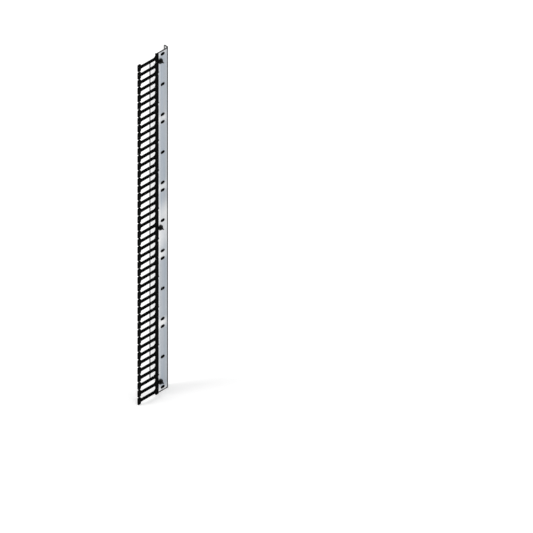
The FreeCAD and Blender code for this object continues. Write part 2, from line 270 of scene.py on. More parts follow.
class Graph:
    """A node tree that is filled by expressions."""

    def __init__(self, tree: bpy.types.NodeTree) -> None:
        """Keep the tree that the nodes go into."""
        self.tree = tree

    def node(
        self,
        kind: str,
        settings: Optional[Mapping[str, object]] = None,
        inputs: Optional[Mapping[Union[int, str], Linkable]] = None,
        output: Union[int, str] = 0,
    ) -> Wire:
        """Add one node.

        Args:
            kind: The node's Blender type.
            settings: Its own settings, set first.
            inputs: Values or wires of its sockets, by name or number.
            output: Name or number of the output that is returned.

        Returns:
            The output as a wire.
        """
        made = self.tree.nodes.new(kind)
        for name, value in (settings or {}).items():
            setattr(made, name, value)
        for key, value in (inputs or {}).items():
            if isinstance(value, Wire):
                self.tree.links.new(value.socket, made.inputs[key])
            else:
                made.inputs[key].default_value = value
        return Wire(self, made.outputs[output] if made.outputs else None)

    def place(self) -> Wire:
        """Place on the piece, in metres, which rides along with it."""
        return self.node("ShaderNodeTexCoord", output="Object")

    def parts(self, vector: Wire) -> tuple[Wire, Wire, Wire]:
        """The three parts of a vector, each as a value."""
        node = self.node("ShaderNodeSeparateXYZ", {}, {0: vector}).socket.node
        return Wire(self, node.outputs[0]), Wire(self, node.outputs[1]), Wire(self, node.outputs[2])

    def noise(self, place: Wire, scale: Triple, detail: float = 3.0, roughness: float = 0.55) -> Wire:
        """Soft noise.

        Args:
            place: Place on the surface.
            scale: Its cycles per metre along each axis.
            detail: Number of finer layers in it.
            roughness: Share that each finer layer keeps.

        Returns:
            The noise, about 0.5 on average.
        """
        vector = self.node("ShaderNodeVectorMath", {"operation": "MULTIPLY"}, {0: place, 1: scale})
        inputs = {"Vector": vector, "Scale": 1.0, "Detail": detail, "Roughness": roughness}
        return self.node("ShaderNodeTexNoise", {}, inputs)

    def crystals(self, place: Wire, scale: Triple) -> Wire:
        """Crystals, each with a grey of its own.

        Args:
            place: Place on the surface.
            scale: Their number per metre along each axis.

        Returns:
            The grey, between 0 and 1.
        """
        vector = self.node("ShaderNodeVectorMath", {"operation": "MULTIPLY"}, {0: place, 1: scale})
        return self.parts(self.node("ShaderNodeTexVoronoi", {}, {"Vector": vector, "Scale": 1.0}, "Color"))[0]

    def blend(self, mask: Linkable, below: Linkable, above: Linkable) -> Wire:
        """Colour that goes from one to another as a mask rises."""
        return self.node("ShaderNodeMix", {"data_type": "RGBA"}, {0: mask, 6: below, 7: above}, 2)

    def bump(self, height: Wire, depth: float, strength: float, under: Optional[Wire] = None) -> Wire:
        """Normal of a surface with a relief.

        Args:
            height: Height of the relief, about 0 to 1.
            depth: What a height of 1 measures, in metres.
            strength: Share of the relief that is used.
            under: Normal of a coarser relief below this one.

        Returns:
            The normal.
        """
        inputs: dict[Union[int, str], Linkable] = {"Height": height, "Distance": depth, "Strength": strength}
        if under is not None:
            inputs["Normal"] = under
        return self.node("ShaderNodeBump", {}, inputs)


def grey(level: float) -> Colour:
    """A neutral colour."""
    return (level, level, level, 1.0)


def rgb(red: float, green: float, blue: float) -> Colour:
    """An opaque colour, in linear light."""
    return (red, green, blue, 1.0)


@dataclass(frozen=True)
class Finish(ABC):
    """A surface finish, which makes one node-based material."""

    name: str

    @abstractmethod
    def surface(self, graph: Graph) -> dict[str, Linkable]:
        """Work out the shader's sockets.

        Args:
            graph: Node tree that the nodes go into.

        Returns:
            Values and wires of the Principled shader's sockets.
        """

    def shader(self, graph: Graph) -> Wire:
        """The whole finish's shader, which is the surface's own unless a finish mixes two."""
        return graph.node("ShaderNodeBsdfPrincipled", {}, self.surface(graph))

    def material(self) -> bpy.types.Material:
        """Make the material, or find it where it was made before.

        Returns:
            The material with this finish's name.
        """
        known = bpy.data.materials.get(self.name)
        if known is not None:
            return known
        made = bpy.data.materials.new(self.name)
        made.use_nodes = True
        made.node_tree.nodes.clear()
        graph = Graph(made.node_tree)
        graph.node("ShaderNodeOutputMaterial", {}, {"Surface": self.shader(graph)})
        return made


@dataclass(frozen=True)
class ZincSheet(Finish):
    """Zinc-plated sheet: rolled along its length, faintly clouded, with dark matt bands painted along its cut
    edges, painted shade along its rear bend, painted highlights on its face and painted light on its front
    faces.
    """

    datum: Datum
    blue: Colour = rgb(0.350, 0.405, 0.470)
    neutral: Colour = rgb(0.465, 0.485, 0.510)
    # Painted light: the light colour of the painted highlights, and of the front faces that are painted
    # lighter.
    painted_light_colour: Colour = rgb(0.865, 0.865, 0.865)
    # Dark colour painted in bands along the cut edges, and as painted shade along the rear bend.
    dark_band_colour: Colour = rgb(0.014, 0.013, 0.014)
    cloud_scale: Triple = (30, 34, 3.1)
    streak_scale: Triple = (60, 160, 1.7)
    grain_scale: Triple = (1400, 1900, 22)
    crystal_scale: Triple = (130, 130, 91)
    scratch_scale: Triple = (900, 260, 9)
    # Noise that breaks up the painted dark bands.
    band_breakup_scale: Triple = (420, 420, 60)
    grain_depth: float = 0.02 * MM
    cloud_depth: float = 0.3 * MM
    wander: float = 14 * MM
    # Painted highlight: a light strip beside the combs' spines.
    spine_highlight_at: float = 17 * MM
    spine_highlight_reach: float = 12 * MM
    glow_at: float = 38 * MM
    glow_reach: float = 42 * MM
    # Painted highlight about the middle mount.
    mount_highlight_reach: float = 180 * MM
    # Painted shade: the face darkens towards the rear bend.
    rear_shade: float = 0.16
    bend_band: float = 9.3 * MM
    bend_fade: float = 0.5 * MM
    bend_depth: float = 4 * MM
    # Strength of the painted shade along the rear bend.
    bend_shade_strength: float = 0.93
    cut_band: float = 8 * MM
    cut_core: float = 0.8
    # Strength of the dark bands painted along the cut edges.
    edge_band_strength: float = 0.95
    free_edge_band: float = 8.5 * MM
    free_edge_core: float = 0.75
    flange_depths: Point = (3 * MM, 2.5 * MM)
    # Normals of the faces that are painted lighter as painted light.
    front_turn: Point = (-0.55, -0.95)
    metallic: float = 0.55
    # Roughness and gloss of the dark matt bands painted along the cut edges and the rear bend.
    band_roughness: float = 0.85
    band_gloss: float = 0.12

    def surface(self, graph: Graph) -> dict[str, Linkable]:
        """Work out the sockets of the plated sheet's shader.

        Args:
            graph: Node tree that the nodes go into.

        Returns:
            Values and wires of the Principled shader's sockets.
        """
        place = graph.place()
        _, y, z = graph.parts(place)
        normal = graph.node("ShaderNodeNewGeometry", output="Normal")
        # Painted light: faces that look to the front are painted lighter, as if lit.
        front_painted_light = graph.parts(normal)[1].rise(*self.front_turn)

        clouds = graph.noise(place, self.cloud_scale)
        streaks = graph.noise(place, self.streak_scale, detail=4.0)
        grain = graph.noise(place, self.grain_scale, detail=4.0, roughness=0.6)
        crystals = graph.crystals(place, self.crystal_scale)
        scratches = graph.noise(place, self.scratch_scale, detail=6.0, roughness=0.75).rise(0.66, 0.76)

        tone = (clouds * 1.5 + streaks * 0.6 - 0.6).clipped()
        colour = graph.blend(tone, self.blue, self.neutral)
        # Painted highlights in light patches on the face.
        colour = graph.blend(self._painted_highlights(y, z, clouds), colour, self.painted_light_colour)
        # Painted light on the front faces.
        colour = graph.blend(front_painted_light * 0.9, colour, self.painted_light_colour)
        shade = (0.90 + grain * 0.12 + crystals * 0.08).clipped()
        # Painted shade towards the rear of the face.
        shade = shade * (1 - y.rise(self.datum.y(self.glow_at), self.datum.rear_y) * self.rear_shade)
        colour = graph.node("ShaderNodeVectorMath", {"operation": "SCALE"}, {0: colour, "Scale": shade})

        rough = 0.34 + grain * 0.16 + crystals * 0.06 + (1 - tone) * 0.05 - scratches * 0.10
        relief = graph.bump(grain, self.grain_depth, strength=0.5)
        relief = graph.bump(clouds, self.cloud_depth, strength=0.25, under=relief)
        return {"Base Color": colour, "Roughness": rough, "Metallic": self.metallic, "Normal": relief}

    def shader(self, graph: Graph) -> Wire:
        """Mix the plated sheet's shader with a dark matt one, painted in bands along its sheared edges and as
        painted shade along its rear bend.

        Args:
            graph: Node tree that the nodes go into.

        Returns:
            The mixed shader.
        """
        place = graph.place()
        x, y, z = graph.parts(place)
        # Dark matt bands painted along the cut edges, and painted shade along the rear bend.
        band_breakup = graph.noise(place, self.band_breakup_scale, detail=4.0)
        dark_bands = self._bend_painted_shade(x, y).larger(self._edge_dark_bands(x, y, z)) * (0.86 + band_breakup * 0.26).clipped()
        wear_and_dark_band = graph.node("ShaderNodeBsdfPrincipled", {}, {
            "Base Color": self.dark_band_colour,
            "Roughness": self.band_roughness,
            "Specular IOR Level": self.band_gloss,
        })
        return graph.node("ShaderNodeMixShader", {}, {0: dark_bands, 1: super().shader(graph), 2: wear_and_dark_band})

    def _painted_highlights(self, y: Wire, z: Wire, clouds: Wire) -> Wire:
        """Mask of painted highlights: light patches painted as reflections beside the combs' spines, at each
        comb joint, about the middle mount and beside the rear bend, more so low on the rail.

        Args:
            y: Place back along the rail's face.
            z: Height.
            clouds: Noise that breaks up the zones' edges.

        Returns:
            A mask between 0 and 1.
        """
        d = self.datum
        y = y + (clouds - 0.5) * self.wander
        lower = (d.top_z - z) / (d.top_z - d.bottom_z)
        # Painted highlight beside the spines.
        spine_highlight = y.near(d.y(self.spine_highlight_at), self.spine_highlight_reach) * (0.10 + lower * 0.12 + clouds * 0.45)
        pitch = COMB_UNITS * d.unit
        from_joint = ((z - d.bottom_z) / pitch).from_whole() * pitch
        across = y.near(d.y(self.glow_at), self.glow_reach)
        # Painted highlight at each comb joint.
        joint_highlight = from_joint.rise(self.glow_reach, 0) * across * (lower * 0.45 + clouds * 0.80)
        # Painted highlight about the middle mount.
        mount_highlight = z.near(Place.MIDDLE.axis[1], self.mount_highlight_reach) * (0.20 + clouds * 0.70)
        # Painted highlight beside the rear bend.
        bend_glow = y.near(d.rear_y - self.bend_band, 2 * self.bend_band) * 0.14
        return (spine_highlight + joint_highlight + mount_highlight + bend_glow).clipped()

    def _bend_painted_shade(self, x: Wire, y: Wire) -> Wire:
        """Mask of the dark band painted along the rear bend as painted shade.

        Args:
            x: Place out of the rail's face.
            y: Place back along the rail's face.

        Returns:
            A mask between 0 and 1.
        """
        start = self.datum.rear_y - self.bend_band
        inside = self.datum.x(-self.bend_depth)
        across = x.rise(inside - self.datum.sheet, inside)
        return y.rise(start, start + self.bend_fade) * across * self.bend_shade_strength

    def _edge_dark_bands(self, x: Wire, y: Wire, z: Wire) -> Wire:
        """Mask of the dark bands painted where the sheet was sheared: its ends and its flanges' free edges.

        Args:
            x: Place out of the rail's face.
            y: Place back along the rail's face.
            z: Height.

        Returns:
            A mask between 0 and 1.
        """
        d = self.datum
        from_middle = abs(z - (d.top_z + d.bottom_z) / 2)
        half = (d.top_z - d.bottom_z) / 2
        ends = from_middle.rise(half - self.cut_band, half - self.cut_band * self.cut_core)
        front = x.rise(d.back_x + self.free_edge_band, d.back_x + self.free_edge_band * self.free_edge_core)
        rear_x = d.x(-d.rear_flange)
        rear = x.rise(rear_x + self.cut_band, rear_x + self.cut_band * self.free_edge_core)
        rear = rear * y.rise(*(d.rear_y - depth for depth in self.flange_depths))
        return ends.larger(front).larger(rear) * self.edge_band_strength


@dataclass(frozen=True)
class Moulding(Finish):
    """Moulded plastic: a fine eroded texture, with duller and shinier patches."""

    colour: Colour = grey(0.0006)
    rubbed: Colour = grey(0.0025)
    roughness: float = 0.42
    texture_scale: float = 1500.0
    texture_depth: float = 0.03 * MM
    gloss: float = 0.015
    flow_scale: Triple = (60, 26, 60)
    flow_depth: float = 0.15 * MM
    scuff_scale: Triple = (700, 45, 420)

    def surface(self, graph: Graph) -> dict[str, Linkable]:
        """Work out the shader's sockets.

        Args:
            graph: Node tree that the nodes go into.

        Returns:
            Values and wires of the Principled shader's sockets.
        """
        place = graph.place()
        texture = graph.noise(place, (self.texture_scale,) * 3, detail=4.0, roughness=0.65)
        flow = graph.noise(place, self.flow_scale)
        scuffs = graph.noise(place, self.scuff_scale, detail=5.0, roughness=0.7).rise(0.60, 0.74)
        wear = (flow * 0.6 + scuffs * 0.5).clipped()
        relief = graph.bump(texture, self.texture_depth, strength=0.7)
        return {
            "Base Color": graph.blend(wear, self.colour, self.rubbed),
            "Roughness": self.roughness + texture * 0.12 + flow * 0.14 - scuffs * 0.08,
            "Normal": graph.bump(flow, self.flow_depth, strength=0.2, under=relief),
            "Specular IOR Level": self.gloss,
        }


@dataclass(frozen=True)
class TurnedMetal(Finish):
    """Metal with fine rings about an axis along X, such as a stamped washer or a screw's head."""

    colour: Colour
    wear_and_dark_band: Colour
    roughness: float = 0.32
    ring_scale: float = 2600.0
    ring_depth: float = 0.015 * MM
    spot_scale: float = 420.0

    def surface(self, graph: Graph) -> dict[str, Linkable]:
        """Work out the shader's sockets.

        Args:
            graph: Node tree that the nodes go into.

        Returns:
            Values and wires of the Principled shader's sockets.
        """
        place = graph.place()
        rings = graph.noise(place, (self.ring_scale, self.ring_scale / 9, self.ring_scale / 9))
        wear_and_dark_band = graph.noise(place, (self.spot_scale,) * 3, detail=5.0, roughness=0.65).rise(0.52, 0.68)
        return {
            "Base Color": graph.blend(wear_and_dark_band * 0.85, self.colour, self.wear_and_dark_band),
            "Roughness": self.roughness + rings * 0.16 - wear_and_dark_band * 0.06,
            "Metallic": 1.0,
            "Normal": graph.bump(rings, self.ring_depth, strength=0.5),
        }


class Finishes:
    """Every finish of the object."""

    def __init__(self, datum: Datum) -> None:
        """Choose the finishes.

        Args:
            datum: Planes of the rail, which place its bands.
        """
        self.sheet = ZincSheet("zinc_plated_sheet", datum)
        self.comb = Moulding("comb_nylon")
        self.comb_edge = Moulding("comb_nylon_edge", grey(0.003), grey(0.012), roughness=0.30, gloss=0.25)
        # Black of the slot liners, which fills the slots as painted shade.
        self.liner = Moulding(
            "liner_rubber", grey(0.001), grey(0.004),
            roughness=0.6, texture_scale=2400.0, texture_depth=0.015 * MM, gloss=0.04,
        )
        self.rivet = Moulding(
            "rivet_nylon", grey(0.003), grey(0.008),
            roughness=0.30, texture_scale=2400.0, texture_depth=0.01 * MM, gloss=0.2,
        )
        self.spacer = Moulding(
            "spacer_nylon", grey(0.001), grey(0.004),
            roughness=0.28, texture_scale=1900.0, texture_depth=0.02 * MM, gloss=0.12,
        )
        self.retainer = Moulding(
            "retaining_nylon", grey(0.030), grey(0.055),
            texture_scale=2400.0, texture_depth=0.01 * MM, gloss=0.35,
        )
        self.washer = TurnedMetal("bright_zinc", rgb(0.56, 0.59, 0.62), rgb(0.34, 0.35, 0.36))
        self.screw = TurnedMetal("black_oxide", grey(0.009), rgb(0.05, 0.047, 0.044), roughness=0.36)


@dataclass(frozen=True)
class Corner:
    """A corner of an outline, with the radius that rounds it."""

    a: float
    b: float
    radius: float = 0.0

    @property
    def at(self) -> Vector:
        """The corner as a vector."""
        return Vector((self.a, self.b))


def rounded_outline(corners: Sequence[Corner]) -> list[Point]:
    """Points of a closed outline whose corners are rounded by arcs.

    Args:
        corners: The outline's corners in order.

    Returns:
        Points along the outline, the arcs in short steps.
    """
    points: list[Point] = []
    for index, corner in enumerate(corners):
        if corner.radius <= 0:
            points.append((corner.a, corner.b))
            continue
        before = (corners[index - 1].at - corner.at).normalized()
        after = (corners[(index + 1) % len(corners)].at - corner.at).normalized()
        half = before.angle(after) / 2
        centre = corner.at + (before + after).normalized() * (corner.radius / math.sin(half))
        start = corner.at + before * (corner.radius / math.tan(half)) - centre
        finish = corner.at + after * (corner.radius / math.tan(half)) - centre
        sweep = math.copysign(math.pi - 2 * half, start.x * finish.y - start.y * finish.x)
        steps = max(2, math.ceil(abs(sweep) / ARC_STEP))
        for step in range(steps + 1):
            turned = Matrix.Rotation(sweep * step / steps, 2) @ start
            points.append((centre.x + turned.x, centre.y + turned.y))
    return points


def rectangle(a0: float, a1: float, b0: float, b1: float) -> list[Point]:
    """Outline of a rectangle between two opposite corners."""
    return [(a0, b0), (a1, b0), (a1, b1), (a0, b1)]


def ring_stations(y: float, z: float, half_run: float, steps: int) -> list[tuple[Point, Point]]:
    """Stations round a circle, or round a slot that lies along Y.

    Args:
        y: Y of the middle.
        z: Z of the middle.
        half_run: Half the distance between the centres of the slot's two ends, 0 for a circle.
        steps: Number of steps round the whole.

    Returns:
        For each station, the centre that it turns about and its direction from there.
    """
    if half_run == 0:
        turns = [(0.0, math.tau * step / steps) for step in range(steps)]
    else:
        half = steps // 2
        turns = [
            (side * half_run, math.pi * (step / half - side / 2))
            for side in (1, -1)
            for step in range(half + 1)
        ]
    return [((y + run, z), (math.cos(angle), math.sin(angle))) for run, angle in turns]


def slot_outline(y: float, z: float, length: float, height: float, steps: int = 36) -> list[Point]:
    """Outline of a round-ended slot that lies along Y, or of a circle where it is as long as high.

    Args:
        y: Y of its middle.
        z: Z of its middle.
        length: Its length over both ends.
        height: Its height.
        steps: Number of steps round the whole.

    Returns:
        Points along the outline.
    """
    radius = height / 2
    stations = ring_stations(y, z, (length - height) / 2, steps)
    return [(centre[0] + way[0] * radius, centre[1] + way[1] * radius) for centre, way in stations]


def disc_outline(y: float, z: float, radius: float, steps: int = 32) -> list[Point]:
    """Outline of a circle in Y and Z."""
    return slot_outline(y, z, 2 * radius, 2 * radius, steps)


def arc_profile(x: float, r: float, radius: float, start: float, sweep: float, steps: int = 4) -> list[Point]:
    """Points of a small arc in a turned profile.

    Args:
        x: X of the arc's centre.
        r: Distance of its centre from the axis.
        radius: Its radius.
        start: Angle of its first point, in degrees from X towards the outside.
        sweep: Angle that it turns through, in degrees.
        steps: Number of its steps.

    Returns:
        Points (x, r) along the arc.
    """
    angles = [math.radians(start + sweep * step / steps) for step in range(steps + 1)]
    return [(x + radius * math.cos(angle), r + radius * math.sin(angle)) for angle in angles]


class Solid:
    """A closed mesh object in the making."""

    def __init__(self, shape: bmesh.types.BMesh) -> None:
        """Turn a shape into an object.

        Args:
            shape: The mesh, which is used up.
        """
        bmesh.ops.recalc_face_normals(shape, faces=shape.faces)
        mesh = bpy.data.meshes.new("solid")
        shape.to_mesh(mesh)
        shape.free()
        self.object = bpy.data.objects.new("solid", mesh)
        bpy.context.scene.collection.objects.link(self.object)

    @classmethod
    def prisms(cls, outlines: Iterable[Prism], axis: Axis = Axis.X) -> "Solid":
        """Draw outlines out along an axis.

        Args:
            outlines: Each closed outline with its lowest and highest place along the axis. Its
                points have the other two of X, Y and Z, in that order.
            axis: Direction of the extrusion.

        Returns:
            One solid that holds all the prisms.
        """
        shape = bmesh.new()
        for outline, low, high in outlines:
            loops = []
            for level in (low, high):
                corners = [[*point[:axis.value], level, *point[axis.value:]] for point in outline]
                loops.append([shape.verts.new(corner) for corner in corners])
            for loop in loops:
                shape.faces.new(loop)
            for k in range(len(outline)):
                shape.faces.new([loops[0][k - 1], loops[0][k], loops[1][k], loops[1][k - 1]])
        return cls(shape)

    @classmethod
    def turned(
        cls, profile: Sequence[Point], y: float, z: float, steps: int, half_run: float = 0.0
    ) -> "Solid":
        """Carry a profile round a circle or a slot.

        Args:
            profile: Points (x, distance from the centre), as a closed loop or from axis to axis.
            y: Y of the middle.
            z: Z of the middle.
            steps: Number of steps round the whole.
            half_run: Half the length of the slot's straight part, 0 for a circle.

        Returns:
            The solid.
        """
        shape = bmesh.new()
        rings = [
            [shape.verts.new((x, centre[0] + way[0] * r, centre[1] + way[1] * r)) for x, r in profile]
            for centre, way in ring_stations(y, z, half_run, steps)
        ]
        count = len(profile)
        spans = [k for k in range(count) if profile[k][1] > 0 or profile[(k + 1) % count][1] > 0]
        for index, ring in enumerate(rings):
            last = rings[index - 1]
            for k in spans:
                following = (k + 1) % count
                shape.faces.new([last[k], last[following], ring[following], ring[k]])
        bmesh.ops.remove_doubles(shape, verts=shape.verts, dist=WELD)
        return cls(shape)

    def change(self, tool: "Solid", operation: Operation) -> "Solid":
        """Join another solid on, or cut it away.

        Args:
            tool: The other solid, which is used up.
            operation: What is done with it.

        Returns:
            This solid.
        """
        modifier = self.object.modifiers.new("change", "BOOLEAN")
        modifier.operation = operation.value
        modifier.solver = "EXACT"
        modifier.use_self = True
        modifier.object = tool.object
        self._settle()
        tool.discard()
        return self

    def __add__(self, other: "Solid") -> "Solid":
        """This solid with another joined on."""
        return self.change(other, Operation.JOIN)

    def __sub__(self, other: "Solid") -> "Solid":
        """This solid with another cut away."""
        return self.change(other, Operation.CUT)

    def together(self, other: "Solid") -> "Solid":
        """Take in another solid that stands apart from this one.

        Args:
            other: The other solid, which is used up.

        Returns:
            This solid.
        """
        shape = bmesh.new()
        shape.from_mesh(self.object.data)
        shape.from_mesh(other.object.data)
        shape.to_mesh(self.object.data)
        shape.free()
        other.discard()
        return self

    def copy(self, shift: Vector) -> "Solid":
        """A copy of this solid in another place.

        Args:
            shift: How far the copy is moved.

        Returns:
            The copy.
        """
        shape = bmesh.new()
        shape.from_mesh(self.object.data)
        bmesh.ops.translate(shape, verts=shape.verts, vec=shift)
        return Solid(shape)

    def flattened(self) -> "Solid":
        """Merge faces that lie in one plane, so that only real edges are left.

        Returns:
            This solid.
        """
        shape = bmesh.new()
        shape.from_mesh(self.object.data)
        bmesh.ops.remove_doubles(shape, verts=shape.verts, dist=10 * WELD)
        bmesh.ops.dissolve_limit(
            shape, angle_limit=FLAT_ANGLE, verts=shape.verts, edges=shape.edges, use_dissolve_boundaries=False
        )
        shape.to_mesh(self.object.data)
        shape.free()
        return self

    def softened(self, width: float, edge_slot: int = 0) -> "Solid":
        """Round every crease.

        Args:
            width: Width of the rounding on each face.
            edge_slot: Number of the material that the roundings get.

        Returns:
            This solid.
        """
        modifier = self.object.modifiers.new("soften", "BEVEL")
        modifier.width = width
        modifier.segments = EDGE_STEPS
        modifier.limit_method = "ANGLE"
        modifier.angle_limit = CREASE_ANGLE
        modifier.use_clamp_overlap = False
        modifier.miter_outer = "MITER_ARC"
        modifier.material = edge_slot
        self._settle()
        return self

    def discard(self) -> None:
        """Remove the object and its mesh."""
        mesh = self.object.data
        bpy.data.objects.remove(self.object)
        bpy.data.meshes.remove(mesh)

    def _settle(self) -> None:
        """Put the modifiers' result into the mesh."""
        bpy.context.view_layer.update()
        graph = bpy.context.evaluated_depsgraph_get()
        result = bpy.data.meshes.new_from_object(self.object.evaluated_get(graph))
        old = self.object.data
        self.object.modifiers.clear()
        self.object.data = result
        bpy.data.meshes.remove(old)

    def piece(
        self, name: str, body: str, slot: str, node: str, finishes: Sequence[Finish]
    ) -> bpy.types.Object:
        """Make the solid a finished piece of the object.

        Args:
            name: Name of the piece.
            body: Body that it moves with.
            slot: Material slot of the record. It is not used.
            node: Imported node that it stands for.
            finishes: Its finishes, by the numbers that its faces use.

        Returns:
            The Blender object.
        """
        made = self.object
        made.name = name
        made.data.name = name
        made.data.materials.clear()
        for finish in finishes:
            made.data.materials.append(finish.material())
        made.data.shade_smooth()
        made.data.set_sharp_from_angle(angle=CREASE_ANGLE)
        weighted = made.modifiers.new("weighted_normals", "WEIGHTED_NORMAL")
        weighted.keep_sharp = True
        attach(made, body)
        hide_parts(node)
        LOG.info("%s: %d faces on %s", name, len(made.data.polygons), body)
        return made


@dataclass
class Rail:
    """The bent sheet, with its slots, rivet holes and spacer holes."""

    datum: Datum
    finishes: Finishes
    bend_inner: float = 2 * MM
    setback_units: float = 1.5
    flange_corner: float = 6 * MM
    relief: float = 3 * MM
    spigot_hole: float = 5.2 * MM
    edge: float = 0.28 * MM

    def build(self) -> bpy.types.Object:
        """Build and dress the rail.

        Returns:
            The finished piece.
        """
        solid = (self._web() - self._bend_gap()) + self._front_flange()
        solid = (solid.flattened() - self._holes()).flattened().softened(self.edge)
        return solid.piece("rail_sheet", ROOT_BODY, "zinc_sheet", "rail", [self.finishes.sheet])

    @property
    def _bend_outer(self) -> float:
        """Outside radius of the bends."""
        return self.bend_inner + self.datum.sheet

    @property
    def _setback(self) -> float:
        """How far the front flange stops short of each end."""
        return self.setback_units * self.datum.unit

    def _web(self) -> Solid:
        """The flat face and the rear flange, over the rail's whole length.

        Returns:
            The solid.
        """
        d = self.datum
        free_x, inner_x, inner_y = d.x(-d.rear_flange), d.x(-d.sheet), d.rear_y - d.sheet
        section = rounded_outline([
            Corner(d.face_x, d.front_y),
            Corner(d.face_x, d.rear_y, self._bend_outer),
            Corner(free_x, d.rear_y),
            Corner(free_x, inner_y),
            Corner(inner_x, inner_y, self.bend_inner),
            Corner(inner_x, d.front_y),
        ])
        return Solid.prisms([(section, d.bottom_z, d.top_z)], Axis.Z)

    def _bend_gap(self) -> Solid:
        """What is cut from the flat face where the front flange is bent, and from the rear flange's corners.

        Returns:
            The cutting solid.
        """
        d = self.datum
        past = d.sheet
        level = self._setback - self.relief
        gap = rectangle(d.x(-d.sheet - past), d.x(past), d.front_y - past, d.y(self._bend_outer))
        tool = Solid.prisms([(gap, d.bottom_z + level, d.top_z - level)], Axis.Z)
        free_x, inner_y = d.x(-d.rear_flange), d.rear_y - d.sheet
        return tool.together(self._snips(free_x, d.bottom_z, d.top_z, inner_y, d.rear_y))

    def _front_flange(self) -> Solid:
        """The deeper flange along the front edge, with its bend and its cut corners.

        Returns:
            The solid.
        """
        d = self.datum
        inner_x, inner_y, bend_y = d.x(-d.sheet), d.y(d.sheet), d.y(self._bend_outer)
        section = rounded_outline([
            Corner(d.face_x, d.front_y, self._bend_outer),
            Corner(d.face_x, bend_y),
            Corner(inner_x, bend_y),
            Corner(inner_x, inner_y, self.bend_inner),
            Corner(d.back_x, inner_y),
            Corner(d.back_x, d.front_y),
        ])
        low, high = d.bottom_z + self._setback, d.top_z - self._setback
        flange = Solid.prisms([(section, low, high)], Axis.Z)
        return flange - self._snips(d.back_x, low, high, d.front_y, inner_y)

    def _snips(self, free_x: float, low_z: float, high_z: float, low_y: float, high_y: float) -> Solid:
        """Wedges that cut the two corners off a flange's free edge.

        Args:
            free_x: X of the free edge.
            low_z: Z of the flange's lower end.
            high_z: Z of its upper end.
            low_y: Y of its front face.
            high_y: Y of its rear face.

        Returns:
            The cutting solid.
        """
        past = self.datum.sheet
        reach = self.flange_corner + past
        wedges = []
        for end, inward in ((high_z, -1), (low_z, 1)):
            outer = end - inward * past
            wedge = [(free_x - past, outer), (free_x + reach, outer), (free_x - past, end + inward * reach)]
            wedges.append((wedge, low_y - past, high_y + past))
        return Solid.prisms(wedges, Axis.Y)

    def _holes(self) -> Solid:
        """Every slot and round hole in the flat face.

        Returns:
            The cutting solid.
        """
        d = self.datum
        outlines = []
        for comb in COMBS:
            for cell in SLOT_CELLS:
                outlines.append(slot_outline(d.slot_y, d.cell_z(comb, cell), d.slot_length, d.slot_height))
            for cell in RIVET_CELLS:
                outlines.append(disc_outline(d.rivet_y, d.cell_z(comb, cell), d.rivet_hole))
        for place in Place:
            outlines.append(disc_outline(*place.axis, self.spigot_hole, steps=40))
        return Solid.prisms([(outline, d.x(-2 * d.sheet), d.x(d.sheet)) for outline in outlines])


